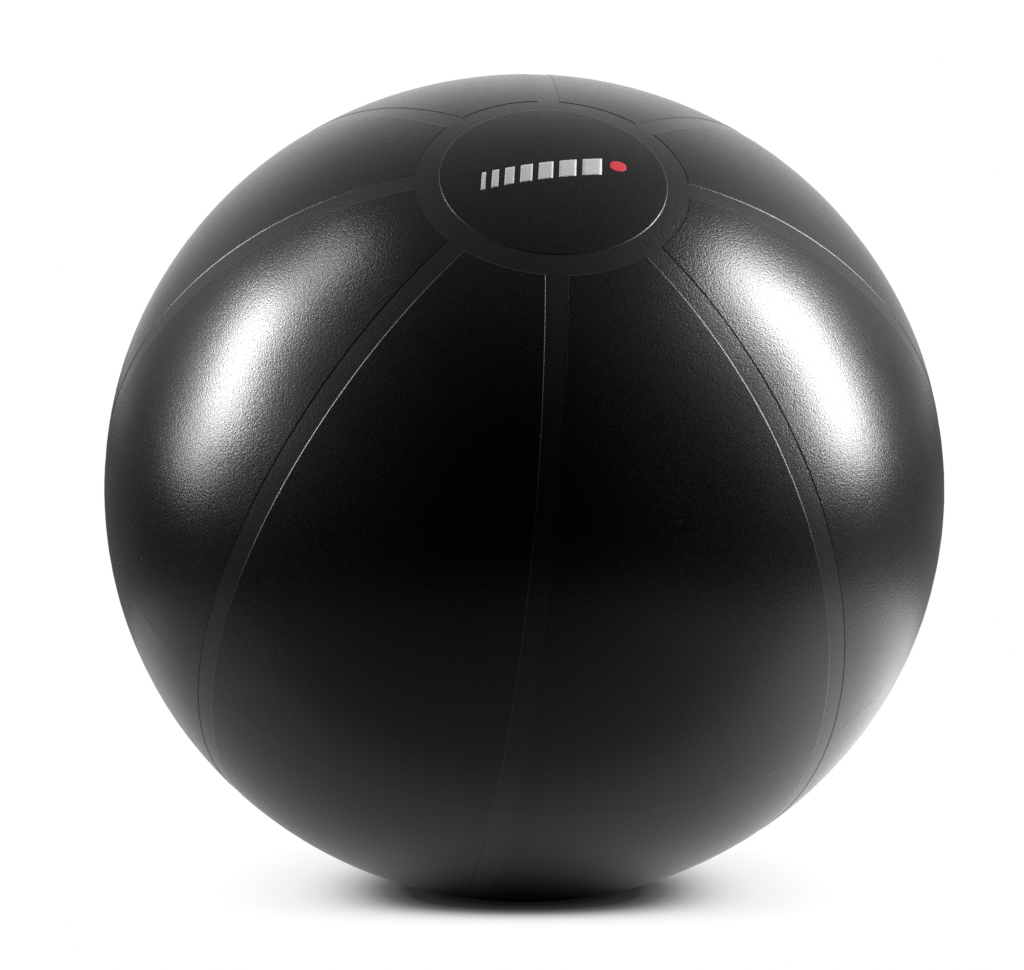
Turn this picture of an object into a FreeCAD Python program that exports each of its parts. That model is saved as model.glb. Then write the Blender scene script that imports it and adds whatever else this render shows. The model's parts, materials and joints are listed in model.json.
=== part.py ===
import FreeCAD, Part
import math
import os

# Inflatable exercise ball, standing on a floor.
# Frame: origin at the centre of the flat contact patch, +Z up.
# The printed polar disc leans towards -Y, and the air valve is in the middle of the opposite disc.
# The ball is first made round about the origin, then squashed by its sag and lifted onto the floor.

V = FreeCAD.Vector

# Skin, mm
BALL_RADIUS = 325.0        # over the raised panels, ball pumped to 65 cm
SAG = 0.985                # height of the pumped ball over its width
CONTACT_RADIUS = 35.0      # flat patch pressed onto the floor
WALL = 1.0
BAND_DEPTH = 0.7           # how far the bands and rings lie below the panels
BAND_WIDTH = 15.9
BAND_COUNT = 8             # meridian bands, so BAND_COUNT / 2 full hoops
DISC_RADIUS = 81.3         # raised disc at each pole
RING_RADIUS = 97.9         # outer edge of the recessed ring round each disc

# Direction of the printed pole, degrees
POLE_TILT = 39.2           # from straight up
POLE_TURN = 6.0            # from -Y towards +X
BAND_PHASE = -5.2          # first band, from the downward direction

# Air valve, mm
HOLE_RADIUS = 9.0          # hole in the skin
HOLE_REACH = 20.0          # the hole's cutter, each way from the skin
BORE_RADIUS = 4.5          # bore of the seat that grips the plug
RIM_RADIUS = 12.0
RIM_HEIGHT = 0.8
RIM_UNDERSIDE = -0.12      # lies just over the curved skin beside the hole
FLANGE_RADIUS = 20.0
FLANGE_TOP = -0.9          # inside the wall, trimmed to the skin's inner face
FLANGE_EDGE = -2.5         # underside at the flange's edge
FLANGE_ROOT = -3.5         # underside beside the sleeve
ROOT_RADIUS = 10.0         # flare between flange and sleeve
ROOT_END = -5.5
SLEEVE_RADIUS = 8.0
SLEEVE_END = -20.0
EDGE = 0.4                 # small chamfer on the rim

# Air plug, mm
PLUG_FIT = 0.05            # radial clearance in the bore
HEAD_GAP = 0.1             # between head and rim
HEAD_RADIUS = 10.5
HEAD_LIP = 0.9             # undercut that a plug remover hooks under
HEAD_TOP = 3.1
DOME_RADIUS = 5.0          # middle point of the domed top
DOME_HEIGHT = 3.5
CROWN = 3.6
TIP_END = -23.5
TIP_RADIUS = 3.3
TAPER = 3.5
GROOVE_DEPTH = 0.35
GROOVE_WIDTH = 2.4
GROOVE_COUNT = 3
GROOVE_PITCH = 4.8
GROOVE_START = -4.0        # upper end of the first groove
CORE_RADIUS = 2.0          # moulded hollow in the stem
CORE_TOP = -2.0

# Printed mark, mm
INK = 0.15
MARK_TURN = 9.0            # degrees, turned on the disc
BAR_COUNT = 7
BAR_WIDTH = 3.0
BAR_GROWTH = 1.9
BAR_GAP = 4.5
BAR_HEIGHT = 18.0
BAR_SLANT = 5.0
DOT_RADIUS = 6.0
DOT_GAP = 6.0

REACH = 400.0              # cutters reach past the ball's radius
ON_FLOOR = 1e-4            # a face this near the floor rests on it
CENTRE_HEIGHT = BALL_RADIUS * SAG * math.sqrt(1 - (CONTACT_RADIUS / BALL_RADIUS) ** 2)


def pole_axes():
    """Pole direction, then the first band's direction and the one square to it, then the same unturned."""
    tilt = math.radians(POLE_TILT)
    turn = math.radians(POLE_TURN)
    pole = V(math.sin(tilt) * math.sin(turn), -math.sin(tilt) * math.cos(turn), math.cos(tilt))
    down = V(0, 0, -1)
    lower = down - pole * down.dot(pole)
    lower.normalize()
    side = pole.cross(lower)
    phase = math.radians(BAND_PHASE)
    first = lower * math.cos(phase) + side * math.sin(phase)
    return pole, first, pole.cross(first), lower, side


POLE, FIRST_BAND, FIRST_SIDE, LOWER, SIDE = pole_axes()


def about_pole(shape):
    """Turn a shape whose Z is the pole and whose X is the first band into the round ball's frame."""
    turned = shape.copy()
    turned.Placement = FreeCAD.Placement(V(), FreeCAD.Rotation(FIRST_BAND, FIRST_SIDE, POLE, "ZXY"))
    return turned


def round_height(height):
    """A height over the floor, as a height in the round ball before its sag."""
    return (height - CENTRE_HEIGHT) / SAG


def settle(shape):
    """Squash a solid of the round ball by its sag and stand it on the floor."""
    matrix = FreeCAD.Matrix()
    matrix.scale(1.0, 1.0, SAG)
    matrix.move(V(0, 0, CENTRE_HEIGHT))
    return shape.transformGeometry(matrix)


def ball(radius, floor):
    """Round ball cut flat at a height over the floor."""
    low = round_height(floor)
    below = Part.makeBox(2 * REACH, 2 * REACH, REACH, V(-REACH, -REACH, low - REACH))
    return Part.makeSphere(radius).cut(below)


def recess_region(margin):
    """Straight-walled region of all the bands and both rings, widened by a margin."""
    outer = RING_RADIUS + margin
    inner = DISC_RADIUS - margin
    start = V(0, 0, -REACH)
    disc = Part.makeCylinder(inner, 2 * REACH, start)
    region = Part.makeCylinder(outer, 2 * REACH, start)
    width = BAND_WIDTH + 2 * margin
    for hoop in range(BAND_COUNT // 2):
        slab = Part.makeBox(2 * REACH, width, 2 * REACH, V(-REACH, -width / 2, -REACH))
        slab.rotate(V(), V(0, 0, 1), hoop * 360.0 / BAND_COUNT)
        region = region.fuse(slab)
    return about_pole(region.cut(disc))


def stepped_ball(inset):
    """Solid ball with recessed bands, its surface lying an inset inside the skin's outer face."""
    panels = ball(BALL_RADIUS - inset, inset)
    floors = ball(BALL_RADIUS - BAND_DEPTH - inset, BAND_DEPTH + inset)
    recess = recess_region(inset).cut(floors)
    return panels.cut(recess)


def valve_frame():
    """Centre of the lower disc's outer face, and the outward direction square to the skin there."""
    point = V(-POLE.x, -POLE.y, -POLE.z * SAG) * BALL_RADIUS + V(0, 0, CENTRE_HEIGHT)
    outward = V(-POLE.x, -POLE.y, -POLE.z / SAG)
    outward.normalize()
    return point, outward


def at_valve(shape):
    """Move a shape turned about Z to the valve, with Z pointing out of the ball."""
    point, outward = valve_frame()
    moved = shape.copy()
    moved.Placement = FreeCAD.Placement(point, FreeCAD.Rotation(V(0, 0, 1), outward))
    return moved


def turned(outline):
    """Solid of revolution about Z from (radius, height) points."""
    points = [V(radius, 0, height) for radius, height in outline]
    face = Part.Face(Part.makePolygon(points + points[:1]))
    return face.revolve(V(), V(0, 0, 1), 360)


def with_plane_foot(skin):
    """Give the faces that stand on the floor, which the squash leaves as splines, true planes."""
    feet = [face for face in skin.Faces if max(abs(v.Z) for v in face.Vertexes) < ON_FLOOR]
    floor = Part.Plane(V(), V(0, 0, 1))
    return skin.replaceShape([(foot, Part.Face(floor, foot.OuterWire).reversed()) for foot in feet])


def make_skin():
    """Hollow moulded skin, flat where it stands, with its valve hole."""
    skin = with_plane_foot(settle(stepped_ball(0.0).cut(stepped_ball(WALL))))
    hole = Part.makeCylinder(HOLE_RADIUS, 2 * HOLE_REACH, V(0, 0, -HOLE_REACH))
    return skin.cut(at_valve(hole))


def make_valve_seat(skin):
    """Thick seat bonded in the skin's hole: outer rim, neck, inner flange and sleeve."""
    outline = [
        (BORE_RADIUS, SLEEVE_END),
        (SLEEVE_RADIUS, SLEEVE_END),
        (SLEEVE_RADIUS, ROOT_END),
        (ROOT_RADIUS, FLANGE_ROOT),
        (FLANGE_RADIUS, FLANGE_EDGE),
        (FLANGE_RADIUS, FLANGE_TOP),
        (HOLE_RADIUS, FLANGE_TOP),
        (HOLE_RADIUS, RIM_UNDERSIDE),
        (RIM_RADIUS, RIM_UNDERSIDE),
        (RIM_RADIUS, RIM_HEIGHT - EDGE),
        (RIM_RADIUS - EDGE, RIM_HEIGHT),
        (BORE_RADIUS + EDGE, RIM_HEIGHT),
        (BORE_RADIUS, RIM_HEIGHT - EDGE),
    ]
    return at_valve(turned(outline)).cut(skin)


def make_air_plug():
    """Push-in stopper: domed head with a lip, grooved stem, tapered tip and a hollow core."""
    stem = BORE_RADIUS - PLUG_FIT
    seat = RIM_HEIGHT + HEAD_GAP
    outline = [(0.0, CORE_TOP), (CORE_RADIUS, CORE_TOP), (CORE_RADIUS, TIP_END), (TIP_RADIUS, TIP_END)]
    outline.append((stem, TIP_END + TAPER))
    for groove in reversed(range(GROOVE_COUNT)):
        high = GROOVE_START - groove * GROOVE_PITCH
        low = high - GROOVE_WIDTH
        outline.append((stem, low))
        outline.append((stem - GROOVE_DEPTH, low + GROOVE_DEPTH))
        outline.append((stem - GROOVE_DEPTH, high - GROOVE_DEPTH))
        outline.append((stem, high))
    outline.append((stem, seat))
    outline.append((HEAD_RADIUS - HEAD_LIP, seat))
    outline.append((HEAD_RADIUS, seat + HEAD_LIP))
    outline.append((HEAD_RADIUS, HEAD_TOP - HEAD_LIP))
    outline.append((HEAD_RADIUS - HEAD_LIP, HEAD_TOP))
    outline.append((DOME_RADIUS, DOME_HEIGHT))
    outline.append((0.0, CROWN))
    return at_valve(turned(outline))


def mark_axes():
    """Directions along and across the printed mark, square to the pole."""
    turn = math.radians(MARK_TURN)
    along = SIDE * math.cos(turn) - LOWER * math.sin(turn)
    across = POLE.cross(along)
    return along, across


def ink_film(face):
    """Thin film of ink on the printed disc, under a flat face extruded along the pole."""
    column = face.extrude(POLE * REACH)
    film = Part.makeSphere(BALL_RADIUS + INK).cut(Part.makeSphere(BALL_RADIUS))
    return settle(film.common(column))


def mark_length():
    """Length of the printed mark, bars and accent together."""
    bars = sum(BAR_WIDTH + BAR_GROWTH * i for i in range(BAR_COUNT))
    return bars + BAR_GAP * (BAR_COUNT - 1) + DOT_GAP + 2 * DOT_RADIUS


def make_print_grey():
    """Row of slanted bars that grow wider, as a generic printed mark."""
    along, across = mark_axes()
    left = -mark_length() / 2
    half = BAR_HEIGHT / 2
    films = []
    for i in range(BAR_COUNT):
        width = BAR_WIDTH + BAR_GROWTH * i
        foot = left - BAR_SLANT / 2
        head = left + BAR_SLANT / 2
        corners = [(foot, -half), (foot + width, -half), (head + width, half), (head, half)]
        points = [along * x + across * y for x, y in corners]
        films.append(ink_film(Part.Face(Part.makePolygon(points + points[:1]))))
        left += width + BAR_GAP
    return Part.makeCompound([solid for film in films for solid in film.Solids])


def make_print_red():
    """Small round accent at the end of the bars."""
    along, across = mark_axes()
    centre = along * (mark_length() / 2 - DOT_RADIUS)
    circle = Part.Circle(centre, POLE, DOT_RADIUS)
    return ink_film(Part.Face(Part.Wire(circle.toShape())))


def main():
    os.makedirs("parts", exist_ok=True)
    skin = make_skin()
    nodes = {
        "ball_skin": skin,
        "valve_seat": make_valve_seat(skin),
        "air_plug": make_air_plug(),
        "print_grey": make_print_grey(),
        "print_red": make_print_red(),
    }
    for name, shape in nodes.items():
        shape.exportStep("parts/" + name + ".step")
        print(name, "solids", len(shape.Solids), "valid", shape.isValid(), "volume", round(shape.Volume, 1))


main()
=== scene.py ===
import json
import math

import bpy
import numpy as np
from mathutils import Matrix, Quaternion, Vector


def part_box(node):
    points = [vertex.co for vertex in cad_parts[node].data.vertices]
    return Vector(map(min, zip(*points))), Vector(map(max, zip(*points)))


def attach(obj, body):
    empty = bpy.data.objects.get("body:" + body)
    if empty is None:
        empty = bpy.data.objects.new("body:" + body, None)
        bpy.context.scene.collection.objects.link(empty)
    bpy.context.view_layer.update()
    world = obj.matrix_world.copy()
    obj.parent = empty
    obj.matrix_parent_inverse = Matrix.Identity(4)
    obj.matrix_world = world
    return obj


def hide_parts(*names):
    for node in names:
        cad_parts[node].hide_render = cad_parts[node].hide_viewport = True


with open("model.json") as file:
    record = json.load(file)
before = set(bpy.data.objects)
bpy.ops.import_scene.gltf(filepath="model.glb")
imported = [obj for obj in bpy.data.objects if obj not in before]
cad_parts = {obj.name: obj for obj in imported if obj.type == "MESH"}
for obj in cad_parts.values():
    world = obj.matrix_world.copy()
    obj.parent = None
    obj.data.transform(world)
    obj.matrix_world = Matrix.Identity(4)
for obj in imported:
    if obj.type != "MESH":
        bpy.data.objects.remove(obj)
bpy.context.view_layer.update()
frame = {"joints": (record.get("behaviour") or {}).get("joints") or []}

# Inflatable exercise ball, in metres. The CAD frame gives the ball's box and the valve's axis.
# Directions on the ball are unit vectors of the round ball. Its sag squashes them onto the real skin.

# Skin
SAG = 0.985                # height over width of the pumped ball
CONTACT_RADIUS = 0.035     # flat patch on the floor
FOOT_SOFTNESS = 0.0006     # rounding where the skin meets the floor
WALL = 0.001
BAND_DEPTH = 0.0003
BAND_WIDTH = 0.0159
BAND_COUNT = 8
DISC_RADIUS = 0.0813
RING_RADIUS = 0.0979
EDGE_WIDTH = 0.0008        # width of the sloping wall between two levels
SHOULDERS = [0.0003, 0.0016]   # extra mesh lines beside each wall, so that its shading stays crisp
BAND_PHASE = math.radians(-3.3)
HOLE_RADIUS = 0.009

# The bands aren't quite regular: they drift sideways as they run down the ball.
DRIFT_TURN = 0.0024
DRIFT_LOWER = -0.028
DRIFT_SIDE = -0.0066

# Parting line of the mould, a fine bead round the middle
PARTING_LEAN = math.radians(2.6)
PARTING_DROP = math.radians(0.9)
PARTING_WIDTH = 0.0009
PARTING_HEIGHT = 0.00008
PARTING_ROWS = [-3.0, -1.3, -1.0, -0.75, -0.5, -0.25, 0.0, 0.25, 0.5, 0.75, 1.0, 1.3, 3.0]

# Soft unevenness of the pumped skin: wavelength and height of each wave
WAVES = [(0.31, 0.00022), (0.19, 0.00014), (0.12, 0.00008), (0.075, 0.00004)]
PANEL_CROWN = 0.00018
GRAIN_CELL = 0.0017
GRAIN_HEIGHT = 0.00014

RECESS = "recess"          # mesh attribute, 1 on the floor of the bands and rings

# Finishes. A scale is the number of waves or cells in a metre.
SMALL_PEBBLES = 1.83       # how many times finer than the large pebbles
GRIT = 2.3
SMEAR_SCALE = 9.0
PATCH_SCALE = 38.0
RUBBED_SCALE = 6.5
SCUFF_STRETCH = (60, 900, 420)
SCUFF_TURN = (0.5, 0.9, 0.3)
SPECK_SCALE = 62.0
SPECK_RAGGED_SCALE = 2600.0
MOULD_HEIGHT = 0.00003     # relief of the smooth mouldings
SKIN_ROUGHNESS = (0.245, 0.265)
PATCH_ROUGHNESS = 0.02
SCUFF_ROUGHNESS = 0.12
WALL_ROUGHNESS = 0.5       # times up to a quarter, on the sloping walls
SEAT_ROUGHNESS = (0.34, 0.46)
PLUG_ROUGHNESS = (0.36, 0.48)
INK_ROUGHNESS = (0.42, 0.52)
# Colour of the grain's pits: painted shade, far darker than the pebble tops
PIT_SHADE_BLACK = (0.0003, 0.0003, 0.0003, 1)
PEBBLE_BLACK = (0.0075, 0.0075, 0.0077, 1)
# Colour of the band and ring floors: a little lighter than the panels, as painted sheen for their stronger
# reflection
RECESS_SHEEN_BLACK = (0.010, 0.010, 0.0102, 1)
SCUFF_GREY = (0.04, 0.04, 0.04, 1)
DUST_GREY = (0.22, 0.22, 0.21, 1)
SEAT_BLACKS = [(0.006, 0.006, 0.0062, 1), (0.011, 0.011, 0.0112, 1)]
PLUG_WHITES = [(0.74, 0.74, 0.70, 1), (0.82, 0.82, 0.79, 1)]
GRIME_GREY = (0.42, 0.40, 0.36, 1)
PINHOLE_GREY = (0.03, 0.03, 0.03, 1)
GREY_INKS = [(0.42, 0.42, 0.43, 1), (0.50, 0.50, 0.51, 1)]
RED_INKS = [(0.48, 0.02, 0.03, 1), (0.60, 0.035, 0.045, 1)]

# Mesh density
EDGE_STEPS = 6
BAND_COLUMNS = 2
PANEL_COLUMNS = 14
DISC_ROWS = 16
RING_ROWS = 3
PANEL_ROWS = 38            # on each side of the parting line
INNER_ROWS = 40

# Valve seat and plug outlines, (radius, height) from the skin's outer face at the lower pole
SEAT_OUTLINE = [
    (0.0045, -0.0200), (0.0080, -0.0200), (0.0080, -0.0055), (0.0100, -0.0035), (0.0200, -0.0025),
    (0.0200, -0.0018), (0.0090, -0.0012), (0.0089, -0.00008), (0.0120, -0.0003), (0.0120, 0.0008),
    (0.0045, 0.0008),
]
PLUG_OUTLINE = [
    (0.0, -0.0020), (0.0020, -0.0022), (0.0020, -0.0235), (0.0033, -0.0235), (0.00445, -0.0200),
    (0.00445, -0.0160), (0.0041, -0.0157), (0.0041, -0.0139), (0.00445, -0.0136),
    (0.00445, -0.0112), (0.0041, -0.0109), (0.0041, -0.0091), (0.00445, -0.0088),
    (0.00445, -0.0064), (0.0041, -0.0061), (0.0041, -0.0043), (0.00445, -0.0040),
    (0.00445, 0.0009), (0.0096, 0.0009), (0.0105, 0.0017), (0.0105, 0.0023), (0.0098, 0.0031),
    (0.0078, 0.00335), (0.0076, 0.00325), (0.0070, 0.00325), (0.0068, 0.0034), (0.0018, 0.0036),
    (0.0015, 0.00335), (0.0, 0.0033),
]
LATHE_SEGMENTS = 128
CORNER_ROUNDING = 0.0003

# Printed mark: a generic row of slanted bars and a dot
MARK_TURN = math.radians(9.0)
BAR_COUNT = 7
BAR_WIDTH = 0.0030
BAR_GROWTH = 0.0019
BAR_GAP = 0.0045
BAR_HEIGHT = 0.0180
BAR_SLANT = 0.0050
DOT_RADIUS = 0.0060
DOT_GAP = 0.0060
INK_TOP = 0.00010
INK_FOOT = -0.00004

# Camera: a long lens, a little above the ball's middle
CAMERA_RISE = math.radians(6.0)
CAMERA_DISTANCE = 2.470
FOCAL_LENGTH = 111.3
SENSOR_WIDTH = 36.0
AIM_LEFT = 0.0094
AIM_UP = 0.0021

# Studio. The floor's distances are in metres from the middle of the contact. The ceiling's and walls' depths
# are a share of the way from the camera's side to behind the ball.
FLOOR_RADIUS = 40.0
# Painted contact shadow: a grey gradient in the floor's glow, darkest at the contact, not cast by the lamps
SHADOW_DISTANCES = [0.0, 0.050, 0.068, 0.091, 0.109, 0.121, 0.134, 0.151, 0.165, 0.185, 0.210, 0.240]
SHADOW_LEVELS = [0.002, 0.004, 0.008, 0.030, 0.120, 0.260, 0.450, 0.660, 0.790, 0.890, 0.950, 1.0]
SHADOW_FRONT = 0.134       # this far ahead of the contact, the shadow fades as if twice as far
# Painted light that the floor throws back at the ball, a glow seen only in its reflections: by its place
# sideways, by its place towards the camera and away, by its distance from the contact (a painted shadow
# under the ball), and dimmer past about a metre from the contact. A paler painted backdrop glow is added
# behind.
SIDE_PLACES = [-1.5, -1.0, -0.5, -0.19, 0.0, 0.19, 0.5, 0.8, 1.2, 2.0]
SIDE_LEVELS = [0.08, 0.18, 0.40, 0.42, 0.46, 0.62, 1.05, 0.85, 0.35, 0.2]
FRONT_PLACES = [-1.7, -1.2, -0.95, -0.75, -0.62, -0.48, -0.33, -0.24, 0.0, 0.3, 0.8, 1.5]
FRONT_LEVELS = [0.02, 0.12, 0.22, 0.24, 0.29, 0.38, 0.53, 0.98, 1.2, 1.7, 0.60, 0.05]
REACH_PLACES = [0.0, 0.07, 0.10, 0.125, 0.15, 0.18, 0.21, 0.26]
REACH_LEVELS = [0.0, 0.0, 0.01, 0.05, 0.24, 0.64, 0.95, 1.0]
REACH_SIDES = 1.5          # the reflected shadow is this much narrower than deep
FAR_DIMMING_PLACES = [0.0, 0.97, 1.06, 1.6, 2.4, 4.0, 8.0]
FAR_DIMMING_LEVELS = [1.0, 1.0, 0.38, 0.30, 0.22, 0.15, 0.12]
BACKDROP_PLACES = [-0.10, 0.14, 0.64, 0.92, 1.28, 1.80, 2.60]
BACKDROP_LEVELS = [0.0, 0.18, 0.50, 0.50, 0.55, 0.65, 1.0]
BACKDROP_LEAN = 0.4
STUDIO_DEPTHS = [0.0, 0.055, 0.16, 0.30, 0.50, 0.70, 0.83, 0.93, 1.0]
CEILING_LEVELS = [0.003, 0.007, 0.027, 0.105, 0.24, 0.36, 0.62, 1.15, 1.6]
WALL_LEVELS = [0.003, 0.006, 0.010, 0.020, 0.04, 0.07, 0.15, 0.50, 1.2]
WALL_TOP = 0.05
CEILING_START = 0.55
RIGHT_SHARE = 0.26         # how much lighter the studio is on its right
# name, position, aim, width, height, roll, power
SOFTBOXES = [
    ("left_low", (-1.32, -0.06, 0.50), (-0.21, -0.21, 0.44), 0.17, 0.22, 11, 2.0),
    ("left_box", (-1.32, -0.14, 0.93), (-0.21, -0.21, 0.44), 0.19, 0.66, 11, 21.0),
    ("left_top", (-1.18, -0.17, 1.54), (-0.16, -0.20, 0.50), 0.14, 0.56, 0, 5.2),
    ("right_low", (1.31, -0.02, 0.46), (0.24, -0.19, 0.45), 0.22, 0.12, 0, 1.9),
    ("right_box", (1.31, -0.09, 0.88), (0.24, -0.19, 0.45), 0.32, 0.74, 0, 27.0),
    ("right_top", (1.31, -0.14, 1.49), (0.24, -0.19, 0.45), 0.36, 0.48, 0, 17.5),
]


def unit(vector):
    return np.asarray(vector, float) / np.linalg.norm(vector)


# ---------------------------------------------------------------- the ball's shape

skin_low, skin_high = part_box("ball_skin")
RADIUS = (skin_high.x - skin_low.x) / 2
HALF_HEIGHT = skin_high.z / (1 + math.sqrt(1 - (CONTACT_RADIUS / RADIUS) ** 2))
CENTRE = np.array([0.0, 0.0, skin_high.z - HALF_HEIGHT])
SEMI_AXES = np.array([RADIUS, RADIUS, HALF_HEIGHT])

VALVE_AXIS = unit(frame["joints"][0]["axis"])
POLE = unit(-VALVE_AXIS * np.array([1, 1, SAG]))
LOWER = unit(np.array([0, 0, -1.0]) - POLE * -POLE[2])
SIDE = np.cross(POLE, LOWER)


def direction(polar, azimuth):
    """Unit direction from angles about the printed pole. Azimuth 0 is downwards."""
    across = np.cos(azimuth)[..., None] * LOWER + np.sin(azimuth)[..., None] * SIDE
    return np.cos(polar)[..., None] * POLE + np.sin(polar)[..., None] * across


def place(ways, depth):
    """Points of the resting ball, a depth under its panels, for directions of the round ball."""
    points = CENTRE + ways * SEMI_AXES
    normals = ways / SEMI_AXES
    normals /= np.linalg.norm(normals, axis=-1, keepdims=True)
    height = points[..., 2]
    points[..., 2] = (height + np.sqrt(height**2 + FOOT_SOFTNESS**2)) / 2
    return points - normals * np.asarray(depth)[..., None]


def unevenness(ways):
    """Gentle waves over the skin, fading out at the printed disc, the valve and the foot."""
    total = np.zeros(ways.shape[:-1])
    for i, (length, height) in enumerate(WAVES):
        for j in range(3):
            turn = 1.7 * i + 2.1 * j
            axis = np.array([math.cos(turn), math.sin(turn), math.cos(2.3 * turn + i)])
            total += height / 2 * np.sin(ways @ unit(axis) * RADIUS * 2 * math.pi / length + 3.1 * i + j)
    fade = smooth((0.93 - np.abs(ways @ POLE)) / 0.12) * smooth((ways[..., 2] + 0.97) / 0.1)
    return total * fade


def smooth(x):
    x = np.clip(x, 0, 1)
    return x * x * (3 - 2 * x)


def drift(polar, azimuth):
    """How far a band has wandered in azimuth."""
    lean = DRIFT_LOWER * np.cos(azimuth) + DRIFT_SIDE * np.sin(azimuth)
    return DRIFT_TURN * polar + lean * polar**2


def edge_steps():
    """Places across a sloping wall and its shoulders, from foot to top, about its middle."""
    wall = [EDGE_WIDTH * (i / (EDGE_STEPS - 1) - 0.5) for i in range(EDGE_STEPS)]
    outside = [EDGE_WIDTH / 2 + shoulder for shoulder in SHOULDERS]
    return [-place for place in reversed(outside)] + wall + outside


def wall_rows(radius, sign):
    """Polar angles of the rows over a wall of a given radius, sign +1 upper pole, -1 lower pole."""
    angle = math.asin(radius / RADIUS)
    rows = [angle + step / RADIUS for step in edge_steps()]
    return rows if sign > 0 else [math.pi - row for row in reversed(rows)]


def between(start, end, count):
    """Evenly spaced values strictly between two."""
    return [start + (end - start) * (i + 1) / (count + 1) for i in range(count)]


def outer_rows():
    """Polar angles of the outer skin's rows, from the printed pole to the valve hole."""
    upper_disc = wall_rows(DISC_RADIUS, 1)
    upper_ring = wall_rows(RING_RADIUS, 1)
    lower_ring = wall_rows(RING_RADIUS, -1)
    lower_disc = wall_rows(DISC_RADIUS, -1)
    bead = [math.pi / 2 + PARTING_WIDTH / RADIUS * place for place in PARTING_ROWS]
    hole = math.pi - math.asin(HOLE_RADIUS / RADIUS)
    rows = between(0.0, upper_disc[0], DISC_ROWS) + upper_disc
    rows += between(upper_disc[-1], upper_ring[0], RING_ROWS) + upper_ring
    rows += between(upper_ring[-1], bead[0], PANEL_ROWS) + bead
    rows += between(bead[-1], lower_ring[0], PANEL_ROWS) + lower_ring
    rows += between(lower_ring[-1], lower_disc[0], RING_ROWS) + lower_disc
    rows += between(lower_disc[-1], hole, DISC_ROWS) + [hole]
    return np.array(rows)


def sector_columns():
    """Across one sector, band middle to band middle: (start band offset, share of the open panel) pairs.
    An offset is a distance from the nearer band's middle, and a share runs 0 to 1 over the panel."""
    half = BAND_WIDTH / 2
    edge = [half + step for step in edge_steps()]
    near = [0.0] + between(0.0, edge[0], BAND_COLUMNS) + edge
    columns = [("near", d) for d in near]
    columns += [("open", share) for share in between(0.0, 1.0, PANEL_COLUMNS)]
    columns += [("far", d) for d in reversed(near[1:])]
    return columns


def outer_grid():
    """Polar angle, azimuth, distance past the nearest band's edge, and share across the panel."""
    rows = outer_rows()
    ring = math.asin(RING_RADIUS / RADIUS)
    width = np.sin(np.clip(rows, ring, math.pi - ring)) * RADIUS
    edge = np.arcsin((BAND_WIDTH / 2 + edge_steps()[-1]) / width)
    sector = 2 * math.pi / BAND_COUNT
    azimuths, pasts, shares = [], [], []
    for band in range(BAND_COUNT):
        for kind, value in sector_columns():
            if kind == "open":
                inside = edge + (sector - 2 * edge) * value
                past = np.full_like(rows, RADIUS)
                share = value
            else:
                inside = np.arcsin(value / width)
                inside = inside if kind == "near" else sector - inside
                past = np.full_like(rows, value - BAND_WIDTH / 2)
                share = 0.0
            azimuths.append(band * sector + inside)
            pasts.append(past)
            shares.append(np.full_like(rows, share))
    azimuth = np.array(azimuths).T
    polar = np.repeat(rows[:, None], azimuth.shape[1], axis=1)
    return polar, azimuth, np.array(pasts).T, np.array(shares).T


def skin_levels(polar, past):
    """0 on the raised panels and discs, 1 on the floor of the bands and rings."""
    from_pole = np.minimum(polar, math.pi - polar)
    disc = 1 - smooth((from_pole - math.asin(DISC_RADIUS / RADIUS)) * RADIUS / EDGE_WIDTH + 0.5)
    ring = smooth((from_pole - math.asin(RING_RADIUS / RADIUS)) * RADIUS / EDGE_WIDTH + 0.5)
    panel = ring * smooth(past / EDGE_WIDTH + 0.5)
    return 1 - np.maximum(disc, panel)


def bead(polar):
    """Height of the parting line's bead over the skin."""
    away = np.abs(polar - math.pi / 2) * RADIUS / PARTING_WIDTH
    return PARTING_HEIGHT * smooth(1 - away)


def loop_faces(first, second, count):
    """Quads between two rings of vertices that start at the given indices."""
    return [
        (first + i, first + (i + 1) % count, second + (i + 1) % count, second + i)
        for i in range(count)
    ]


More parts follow.
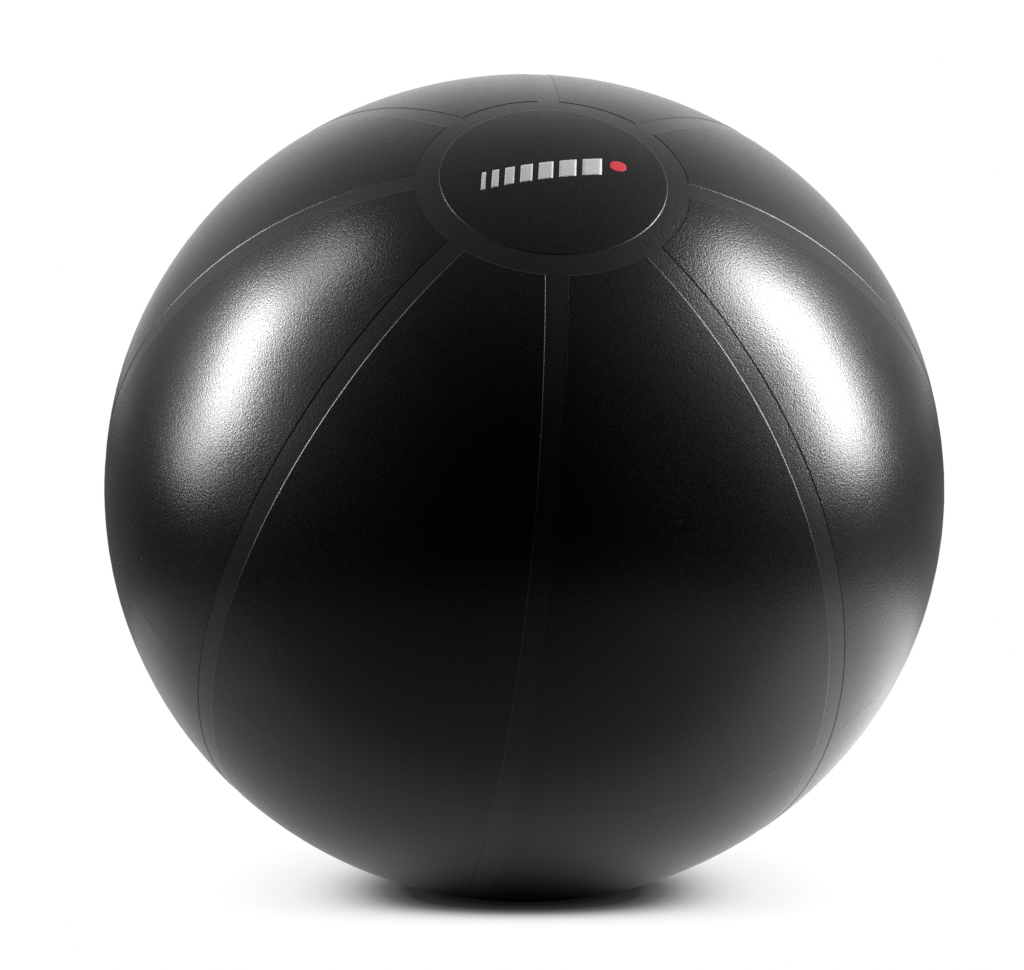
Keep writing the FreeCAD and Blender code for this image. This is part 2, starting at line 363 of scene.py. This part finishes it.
def build_skin():
    """Closed hollow skin: stepped outer surface, valve hole and plain inner surface."""
    polar, azimuth, past, share = outer_grid()
    levels = skin_levels(polar, past)
    rise = bead(polar)
    crown = PANEL_CROWN * np.sin(np.pi * share) * np.sin(polar) ** 2
    parting = PARTING_DROP + PARTING_LEAN * np.sin(azimuth)
    ring = math.asin(RING_RADIUS / RADIUS) + EDGE_WIDTH / RADIUS
    stretch = math.pi / 2 - ring
    blend = smooth((polar - ring) / stretch) * smooth((math.pi - ring - polar) / stretch)
    leaning = polar + parting * blend
    turned = azimuth + BAND_PHASE + drift(leaning, azimuth)
    ways = direction(leaning, turned)
    depth = levels * BAND_DEPTH - rise - crown - unevenness(ways)
    outer = place(ways, depth)
    rows, count = polar.shape

    inner_polar = np.linspace(polar[-1, 0], 0.0, INNER_ROWS + 1)[:-1]
    inner_azimuth = np.repeat(turned[-1][None], INNER_ROWS, axis=0)
    inner_ways = direction(np.repeat(inner_polar[:, None], count, axis=1), inner_azimuth)
    inner = place(inner_ways, np.full(inner_azimuth.shape, WALL + BAND_DEPTH))

    top = place(POLE[None], np.zeros(1))
    under = place(POLE[None], np.full(1, WALL + BAND_DEPTH))
    points = np.concatenate([top, outer.reshape(-1, 3), inner.reshape(-1, 3), under])
    faces = [(0, 1 + i, 1 + (i + 1) % count) for i in range(count)]
    for row in range(rows + INNER_ROWS - 1):
        faces += [face[::-1] for face in loop_faces(1 + row * count, 1 + (row + 1) * count, count)]
    last = len(points) - 1
    start = last - count
    faces += [(start + (i + 1) % count, start + i, last) for i in range(count)]
    skin = new_mesh("ball_skin_moulded", points, faces)
    recess = skin.data.attributes.new(RECESS, "FLOAT", "POINT")
    inside = np.zeros(inner_azimuth.size + 1)
    recess.data.foreach_set("value", np.concatenate([[0.0], levels.ravel(), inside]).astype(np.float32))
    return skin


def new_mesh(name, points, faces):
    """Smooth-shaded mesh object with outward normals."""
    mesh = bpy.data.meshes.new(name)
    mesh.from_pydata([tuple(map(float, point)) for point in points], [], faces)
    mesh.validate()
    for polygon in mesh.polygons:
        polygon.use_smooth = True
    mesh.update()
    piece = bpy.data.objects.new(name, mesh)
    bpy.context.scene.collection.objects.link(piece)
    return piece


# ---------------------------------------------------------------- valve seat and plug


def rounded(outline, radius, closed):
    """Outline with each corner replaced by a short curve."""
    points = [np.array(point) for point in outline]
    count = len(points)
    result = []
    for i, point in enumerate(points):
        if not closed and i in (0, count - 1):
            result.append(point)
            continue
        before = points[i - 1] - point
        after = points[(i + 1) % count] - point
        reach_before = min(radius, 0.42 * np.linalg.norm(before))
        reach_after = min(radius, 0.42 * np.linalg.norm(after))
        start = point + unit(before) * reach_before
        end = point + unit(after) * reach_after
        for t in (0.0, 0.25, 0.5, 0.75, 1.0):
            result.append(start * (1 - t) ** 2 + point * 2 * t * (1 - t) + end * t**2)
    return result


def valve_point():
    return place(-POLE[None], np.zeros(1))[0]


def lathe(name, outline, closed):
    """Piece turned about the valve's axis from a rounded outline."""
    profile = rounded(outline, CORNER_ROUNDING, closed)
    x_axis = unit(np.cross(VALVE_AXIS, [0, 0, 1.0]))
    y_axis = np.cross(VALVE_AXIS, x_axis)
    origin = valve_point()
    angles = np.linspace(0, 2 * math.pi, LATHE_SEGMENTS, endpoint=False)
    spokes = np.cos(angles)[:, None] * x_axis + np.sin(angles)[:, None] * y_axis
    points, faces, starts = [], [], []
    for r, h in profile:
        starts.append((len(points), r < 1e-7))
        if r < 1e-7:
            points.append(origin + VALVE_AXIS * h)
        else:
            points.extend(origin + VALVE_AXIS * h + spokes * r)
    pairs = list(zip(starts, starts[1:] + starts[:1])) if closed else list(zip(starts, starts[1:]))
    for (first, first_point), (second, second_point) in pairs:
        for i in range(LATHE_SEGMENTS):
            j = (i + 1) % LATHE_SEGMENTS
            if first_point:
                faces.append((first, second + i, second + j))
            elif second_point:
                faces.append((first + j, first + i, second))
            else:
                faces.append((first + j, first + i, second + i, second + j))
    return new_mesh(name, points, faces)


# ---------------------------------------------------------------- printed mark


def mark_axes():
    along = SIDE * math.cos(MARK_TURN) - LOWER * math.sin(MARK_TURN)
    return along, np.cross(POLE, along)


def on_disc(x, y, lift):
    """Points of the printed disc under a flat pattern, lifted off the skin."""
    along, across = mark_axes()
    x, y = np.asarray(x), np.asarray(y)
    up = np.sqrt(RADIUS**2 - x**2 - y**2)
    ways = (x[..., None] * along + y[..., None] * across + up[..., None] * POLE) / RADIUS
    return place(ways, np.full(x.shape, -lift))


def film(x, y):
    """Thin closed film over a grid of places on the disc: points and faces."""
    rows, columns = x.shape
    points = np.concatenate([on_disc(x, y, INK_TOP).reshape(-1, 3), on_disc(x, y, INK_FOOT).reshape(-1, 3)])
    under = rows * columns
    faces = []
    for r in range(rows - 1):
        for c in range(columns - 1):
            a = r * columns + c
            quad = (a, a + 1, a + columns + 1, a + columns)
            faces.append(quad)
            faces.append(tuple(under + v for v in reversed(quad)))
    rim = list(range(columns))
    rim += [r * columns + columns - 1 for r in range(1, rows)]
    rim += [(rows - 1) * columns + c for c in range(columns - 2, -1, -1)]
    rim += [r * columns for r in range(rows - 2, 0, -1)]
    for a, b in zip(rim, rim[1:] + rim[:1]):
        faces.append((b, a, under + a, under + b))
    return points, faces


def mark_length():
    bars = sum(BAR_WIDTH + BAR_GROWTH * i for i in range(BAR_COUNT))
    return bars + BAR_GAP * (BAR_COUNT - 1) + DOT_GAP + 2 * DOT_RADIUS


def build_bars():
    left = -mark_length() / 2
    points, faces = [], []
    for i in range(BAR_COUNT):
        width = BAR_WIDTH + BAR_GROWTH * i
        v, u = np.meshgrid(np.linspace(-0.5, 0.5, 13), np.linspace(0, 1, 7), indexing="ij")
        x = left + u * width + v * BAR_SLANT
        y = v * BAR_HEIGHT
        bar_points, bar_faces = film(x, y)
        offset = sum(len(p) for p in points)
        points.append(bar_points)
        faces += [tuple(offset + v for v in face) for face in bar_faces]
        left += width + BAR_GAP
    return new_mesh("mark_bars", np.concatenate(points), faces)


def build_dot():
    """Round accent, its square grid pulled out to a disc."""
    v, u = np.meshgrid(np.linspace(-1, 1, 17), np.linspace(-1, 1, 17), indexing="ij")
    x = u * np.sqrt(1 - v**2 / 2) * DOT_RADIUS + mark_length() / 2 - DOT_RADIUS
    y = v * np.sqrt(1 - u**2 / 2) * DOT_RADIUS
    points, faces = film(x, y)
    return new_mesh("mark_dot", points, faces)


# ---------------------------------------------------------------- materials


class Shader:
    """Node tree of one material or world, with short calls for the nodes it needs."""

    def __init__(self, owner):
        owner.use_nodes = True
        self.owner = owner
        self.tree = owner.node_tree
        self.surface = self.tree.nodes.get("Principled BSDF")
        coordinates = self.add("ShaderNodeTexCoord")
        self.place = coordinates.outputs["Object"]
        self.ray = coordinates.outputs["Generated"]

    def add(self, kind, **settings):
        node = self.tree.nodes.new(kind)
        for key, value in settings.items():
            setattr(node, key, value)
        return node

    def plug(self, socket, value):
        if isinstance(value, bpy.types.NodeSocket):
            self.tree.links.new(value, socket)
        else:
            socket.default_value = value

    def math(self, operation, a, b=0.0, third=0.0):
        node = self.add("ShaderNodeMath", operation=operation)
        self.plug(node.inputs[0], a)
        self.plug(node.inputs[1], b)
        self.plug(node.inputs[2], third)
        return node.outputs[0]

    def gradient(self, value, places, levels):
        """Grey that has each of the levels where the value is at its place, and runs between them."""
        node = self.add("ShaderNodeValToRGB")
        band = node.color_ramp
        while len(band.elements) < len(levels):
            band.elements.new(0.5)
        for element, where, level in zip(band.elements, places, levels):
            element.position = (where - places[0]) / (places[-1] - places[0])
            element.color = (level, level, level, 1)
        start = self.math("SUBTRACT", value, places[0])
        self.plug(node.inputs[0], self.math("DIVIDE", start, places[-1] - places[0]))
        return node.outputs[0]

    def split(self, vector):
        """The three parts of a vector, by name."""
        node = self.add("ShaderNodeSeparateXYZ")
        self.plug(node.inputs[0], vector)
        return node.outputs

    def distance(self):
        """Distance of a place from the origin."""
        node = self.add("ShaderNodeVectorMath", operation="LENGTH")
        self.plug(node.inputs[0], self.place)
        return node.outputs["Value"]

    def shadow_distance(self):
        """Distance from the contact, drawn out on the camera's side so that the shadow ends sooner there."""
        parts = self.split(self.place)
        front = self.math("MINIMUM", parts["Y"], 0.0)
        squared = self.math("POWER", self.math("ABSOLUTE", front), 2.0)
        drawn = self.math("MULTIPLY_ADD", squared, SHADOW_FRONT**-2, third=1.0)
        depth = self.math("MULTIPLY", parts["Y"], drawn)
        across = self.math("POWER", parts["X"], 2.0)
        return self.math("SQRT", self.math("MULTIPLY_ADD", depth, depth, third=across))

    def noise(self, scale, detail=2.0, roughness=0.5, vector=None, distortion=0.0):
        node = self.add("ShaderNodeTexNoise")
        self.plug(node.inputs["Vector"], vector or self.place)
        self.plug(node.inputs["Scale"], scale)
        self.plug(node.inputs["Detail"], detail)
        self.plug(node.inputs["Roughness"], roughness)
        self.plug(node.inputs["Distortion"], distortion)
        return node.outputs["Fac"]

    def cells(self, scale, output="Distance"):
        node = self.add("ShaderNodeTexVoronoi", feature="F1")
        self.plug(node.inputs["Vector"], self.place)
        self.plug(node.inputs["Scale"], scale)
        return node.outputs[output]

    def attribute(self, name):
        return self.add("ShaderNodeAttribute", attribute_name=name).outputs["Fac"]

    def stretched(self, scale, turn):
        node = self.add("ShaderNodeMapping")
        self.plug(node.inputs["Vector"], self.place)
        self.plug(node.inputs["Scale"], scale)
        self.plug(node.inputs["Rotation"], turn)
        return node.outputs[0]

    def ramp(self, value, low, high, out_low=0.0, out_high=1.0):
        node = self.add("ShaderNodeMapRange", interpolation_type="SMOOTHSTEP")
        self.plug(node.inputs["Value"], value)
        self.plug(node.inputs["From Min"], low)
        self.plug(node.inputs["From Max"], high)
        self.plug(node.inputs["To Min"], out_low)
        self.plug(node.inputs["To Max"], out_high)
        return node.outputs[0]

    def mix(self, share, first, second):
        node = self.add("ShaderNodeMix", data_type="RGBA")
        self.plug(node.inputs[0], share)
        self.plug(node.inputs[6], first)
        self.plug(node.inputs[7], second)
        return node.outputs[2]

    def bump(self, height, distance):
        node = self.add("ShaderNodeBump")
        self.plug(node.inputs["Height"], height)
        self.plug(node.inputs["Distance"], distance)
        self.plug(node.inputs["Strength"], 1.0)
        return node.outputs[0]

    def finish(self, colour, roughness, normal):
        self.plug(self.surface.inputs["Base Color"], colour)
        self.plug(self.surface.inputs["Roughness"], roughness)
        self.plug(self.surface.inputs["Normal"], normal)
        return self.owner


def material_shader(name):
    return Shader(bpy.data.materials.new(name))


def pebbled(shader):
    """Height of a fine moulded pebble grain, highest on the pebbles: round pebbles of two sizes, with grit
    between.
    """
    large = shader.math("POWER", shader.cells(1 / GRAIN_CELL), 2.0)
    small = shader.math("POWER", shader.cells(SMALL_PEBBLES / GRAIN_CELL), 2.0)
    grit = shader.noise(GRIT / GRAIN_CELL, detail=2.0, roughness=0.6)
    pits = shader.math("MULTIPLY_ADD", large, 0.45, third=shader.math("MULTIPLY", small, 0.25))
    return shader.math("SUBTRACT", shader.math("MULTIPLY", grit, 0.4), pits)


def scuff_marks(shader):
    """Thin parallel scratches, only where the skin has been rubbed."""
    streaks = shader.noise(1.0, detail=3.0, vector=shader.stretched(SCUFF_STRETCH, SCUFF_TURN))
    rubbed = shader.ramp(shader.noise(RUBBED_SCALE, detail=2.0), 0.60, 0.72)
    return shader.math("MULTIPLY", shader.ramp(streaks, 0.62, 0.72), rubbed)


def dust_specks(shader):
    """A few ragged specks, each in a cell of its own."""
    edge = shader.noise(SPECK_RAGGED_SCALE, detail=2.0)
    ragged = shader.math("MULTIPLY_ADD", edge, 0.05, third=shader.cells(SPECK_SCALE))
    shape = shader.ramp(ragged, 0.056, 0.046)
    chosen = shader.ramp(shader.cells(SPECK_SCALE, output="Color"), 0.80, 0.84)
    return shader.math("MULTIPLY", shape, chosen)


def skin_material():
    """Satin black moulded vinyl: pebble grain with painted shade in its pits, faint smears, scuffs and a
    little dust. Bands and rings are painted a little lighter, as painted sheen.
    """
    shader = material_shader("black_vinyl")
    smears = shader.noise(SMEAR_SCALE, detail=4.0, roughness=0.55, distortion=0.6)
    patches = shader.noise(PATCH_SCALE, detail=3.0)
    scuffs = scuff_marks(shader)
    specks = dust_specks(shader)

    grain = pebbled(shader)
    # Pits darker than the pebble tops: painted shade in the grain's pits
    tops_out_of_pit_shade = shader.ramp(grain, -0.10, 0.22)
    panel = shader.mix(tops_out_of_pit_shade, PIT_SHADE_BLACK, PEBBLE_BLACK)
    recess = shader.attribute(RECESS)
    # Bands and rings lighter than the panels: painted sheen
    black = shader.mix(recess, panel, RECESS_SHEEN_BLACK)
    scuffed = shader.mix(shader.math("MULTIPLY", scuffs, 0.25), black, SCUFF_GREY)
    colour = shader.mix(shader.math("MULTIPLY", specks, 0.6), scuffed, DUST_GREY)

    rough = shader.ramp(smears, 0.3, 0.7, *SKIN_ROUGHNESS)
    rough = shader.math("MULTIPLY_ADD", patches, PATCH_ROUGHNESS, third=rough)
    rough = shader.math("MULTIPLY_ADD", scuffs, SCUFF_ROUGHNESS, third=rough)
    wall = shader.math("MULTIPLY", recess, shader.math("SUBTRACT", 1.0, recess))
    rough = shader.math("MULTIPLY_ADD", wall, WALL_ROUGHNESS, third=rough)
    return shader.finish(colour, rough, shader.bump(grain, GRAIN_HEIGHT))


def seat_material():
    """Smooth black vinyl of the valve seat."""
    shader = material_shader("seat_vinyl")
    cloud = shader.noise(120.0, detail=3.0)
    colour = shader.mix(cloud, *SEAT_BLACKS)
    rough = shader.ramp(cloud, 0.3, 0.7, *SEAT_ROUGHNESS)
    relief = shader.bump(shader.noise(2200.0, detail=2.0), MOULD_HEIGHT)
    return shader.finish(colour, rough, relief)


def plug_material():
    """White moulded polyethylene, very slightly warm, with a little handling grime."""
    shader = material_shader("white_polyethylene")
    cloud = shader.noise(90.0, detail=4.0)
    grime = shader.ramp(shader.noise(300.0, detail=4.0, roughness=0.65), 0.60, 0.80)
    white = shader.mix(cloud, *PLUG_WHITES)
    colour = shader.mix(shader.math("MULTIPLY", grime, 0.25), white, GRIME_GREY)
    rough = shader.ramp(cloud, 0.3, 0.7, *PLUG_ROUGHNESS)
    relief = shader.bump(shader.noise(1500.0, detail=3.0), MOULD_HEIGHT)
    return shader.finish(colour, rough, relief)


def ink_material(name, shades):
    """Pad-printed ink over the grain, with a few pinholes."""
    shader = material_shader(name)
    cloud = shader.noise(160.0, detail=3.0)
    pinholes = shader.ramp(shader.noise(1500.0, detail=2.0), 0.70, 0.76)
    ink = shader.mix(cloud, *shades)
    colour = shader.mix(shader.math("MULTIPLY", pinholes, 0.5), ink, PINHOLE_GREY)
    rough = shader.ramp(cloud, 0.3, 0.7, *INK_ROUGHNESS)
    return shader.finish(colour, rough, shader.bump(pebbled(shader), GRAIN_HEIGHT / 4))


# ---------------------------------------------------------------- stage, light and camera


def reflected_floor(shader):
    """Painted glow of the floor that the ball reflects: paler ahead and behind, with a painted shadow under
    the ball, and dimmer past about a metre.
    """
    parts = shader.split(shader.place)
    side = shader.gradient(parts["X"], SIDE_PLACES, SIDE_LEVELS)
    front = shader.gradient(parts["Y"], FRONT_PLACES, FRONT_LEVELS)
    leaning = shader.math("MULTIPLY_ADD", parts["X"], BACKDROP_LEAN, third=parts["Y"])
    backdrop = shader.gradient(leaning, BACKDROP_PLACES, BACKDROP_LEVELS)
    narrow = shader.math("MULTIPLY", parts["X"], REACH_SIDES)
    across = shader.math("MULTIPLY", narrow, narrow)
    squared = shader.math("MULTIPLY_ADD", parts["Y"], parts["Y"], third=across)
    reach = shader.gradient(shader.math("SQRT", squared), REACH_PLACES, REACH_LEVELS)
    far_dimming = shader.gradient(shader.distance(), FAR_DIMMING_PLACES, FAR_DIMMING_LEVELS)
    lit = shader.math("MULTIPLY_ADD", side, front, third=backdrop)
    return shader.math("MULTIPLY", shader.math("MULTIPLY", lit, far_dimming), reach)


def build_floor():
    """Pale glowing floor with the ball's soft contact shadow painted into its glow. The ball reflects a
    dimmer painted glow of it, as in a dark studio.
    """
    bpy.ops.mesh.primitive_circle_add(vertices=96, radius=FLOOR_RADIUS, fill_type="NGON")
    floor = bpy.context.object
    floor.name = "floor"
    shader = material_shader("floor_glow_painted_shadow")
    # Painted shadow: the glow that the camera sees darkens towards the contact
    shadow = shader.gradient(shader.shadow_distance(), SHADOW_DISTANCES, SHADOW_LEVELS)
    light = shader.add("ShaderNodeEmission")
    seen = shader.add("ShaderNodeLightPath").outputs["Is Camera Ray"]
    # Camera rays see the painted shadow. Other rays see the painted reflected glow
    shader.plug(light.inputs["Color"], shader.mix(seen, reflected_floor(shader), shadow))
    shader.plug(shader.tree.nodes["Material Output"].inputs["Surface"], light.outputs[0])
    shader.owner.cycles.emission_sampling = "NONE"
    floor.data.materials.append(shader.owner)


def build_world():
    """Studio that is bright above and behind the ball and dark behind the camera. It looks plain white."""
    world = bpy.data.worlds.new("studio")
    bpy.context.scene.world = world
    world.use_nodes = True
    world.node_tree.nodes.clear()
    shader = Shader(world)
    parts = shader.split(shader.ray)
    front = shader.math("MULTIPLY_ADD", parts["Y"], -RIGHT_SHARE / 2, third=RIGHT_SHARE / 2)
    lean = shader.math("MULTIPLY_ADD", parts["X"], front, third=parts["Y"])
    share = shader.math("MULTIPLY_ADD", lean, 0.5, third=0.5)
    ceiling = shader.gradient(share, STUDIO_DEPTHS, CEILING_LEVELS)
    wall = shader.gradient(share, STUDIO_DEPTHS, WALL_LEVELS)
    height = shader.ramp(parts["Z"], WALL_TOP, CEILING_START)
    studio = shader.mix(height, wall, ceiling)
    seen = shader.add("ShaderNodeLightPath").outputs["Is Camera Ray"]
    back = shader.add("ShaderNodeBackground")
    shader.plug(back.inputs["Color"], shader.mix(seen, studio, (1, 1, 1, 1)))
    shader.plug(shader.add("ShaderNodeOutputWorld").inputs["Surface"], back.outputs[0])


def softbox(name, position, target, width, height, roll, power):
    """Rectangular soft light facing a point."""
    light = bpy.data.lights.new(name, "AREA")
    light.shape = "RECTANGLE"
    light.size = width
    light.size_y = height
    light.energy = power
    lamp = bpy.data.objects.new(name, light)
    lamp.location = position
    facing = (Vector(target) - Vector(position)).to_track_quat("-Z", "Y")
    lamp.rotation_euler = (facing @ Quaternion((0, 0, 1), math.radians(roll))).to_euler()
    lamp.visible_camera = False
    bpy.context.scene.collection.objects.link(lamp)


def build_lights():
    for box in SOFTBOXES:
        softbox(*box)


def build_camera():
    middle = Vector(CENTRE)
    up = Vector((0, math.sin(CAMERA_RISE), math.cos(CAMERA_RISE)))
    back = Vector((0, -math.cos(CAMERA_RISE), math.sin(CAMERA_RISE)))
    target = middle + Vector((-AIM_LEFT, 0, 0)) + up * AIM_UP
    camera = bpy.data.cameras.new("camera")
    camera.lens = FOCAL_LENGTH
    camera.sensor_width = SENSOR_WIDTH
    camera.clip_end = 200
    holder = bpy.data.objects.new("camera", camera)
    holder.location = middle + back * CAMERA_DISTANCE
    holder.rotation_euler = (target - holder.location).to_track_quat("-Z", "Y").to_euler()
    bpy.context.scene.collection.objects.link(holder)
    bpy.context.scene.camera = holder
    bpy.context.scene.view_settings.view_transform = "Standard"
    bpy.context.scene.cycles.use_denoising = False    # it smears the skin's fine grain


# ---------------------------------------------------------------- the whole ball


def show(piece, material, body, node):
    """Give a piece its finish and let it stand for a CAD node."""
    piece.data.materials.append(material)
    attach(piece, body)
    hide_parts(node)


build_camera()
build_world()
build_lights()
build_floor()
skin = build_skin()
seat = lathe("valve_seat_moulded", SEAT_OUTLINE, closed=True)
plug = lathe("air_plug_moulded", PLUG_OUTLINE, closed=False)
show(skin, skin_material(), "ball", "ball_skin")
show(seat, seat_material(), "ball", "valve_seat")
show(plug, plug_material(), "plug", "air_plug")
show(build_bars(), ink_material("grey_ink", GREY_INKS), "ball", "print_grey")
show(build_dot(), ink_material("red_ink", RED_INKS), "ball", "print_red")
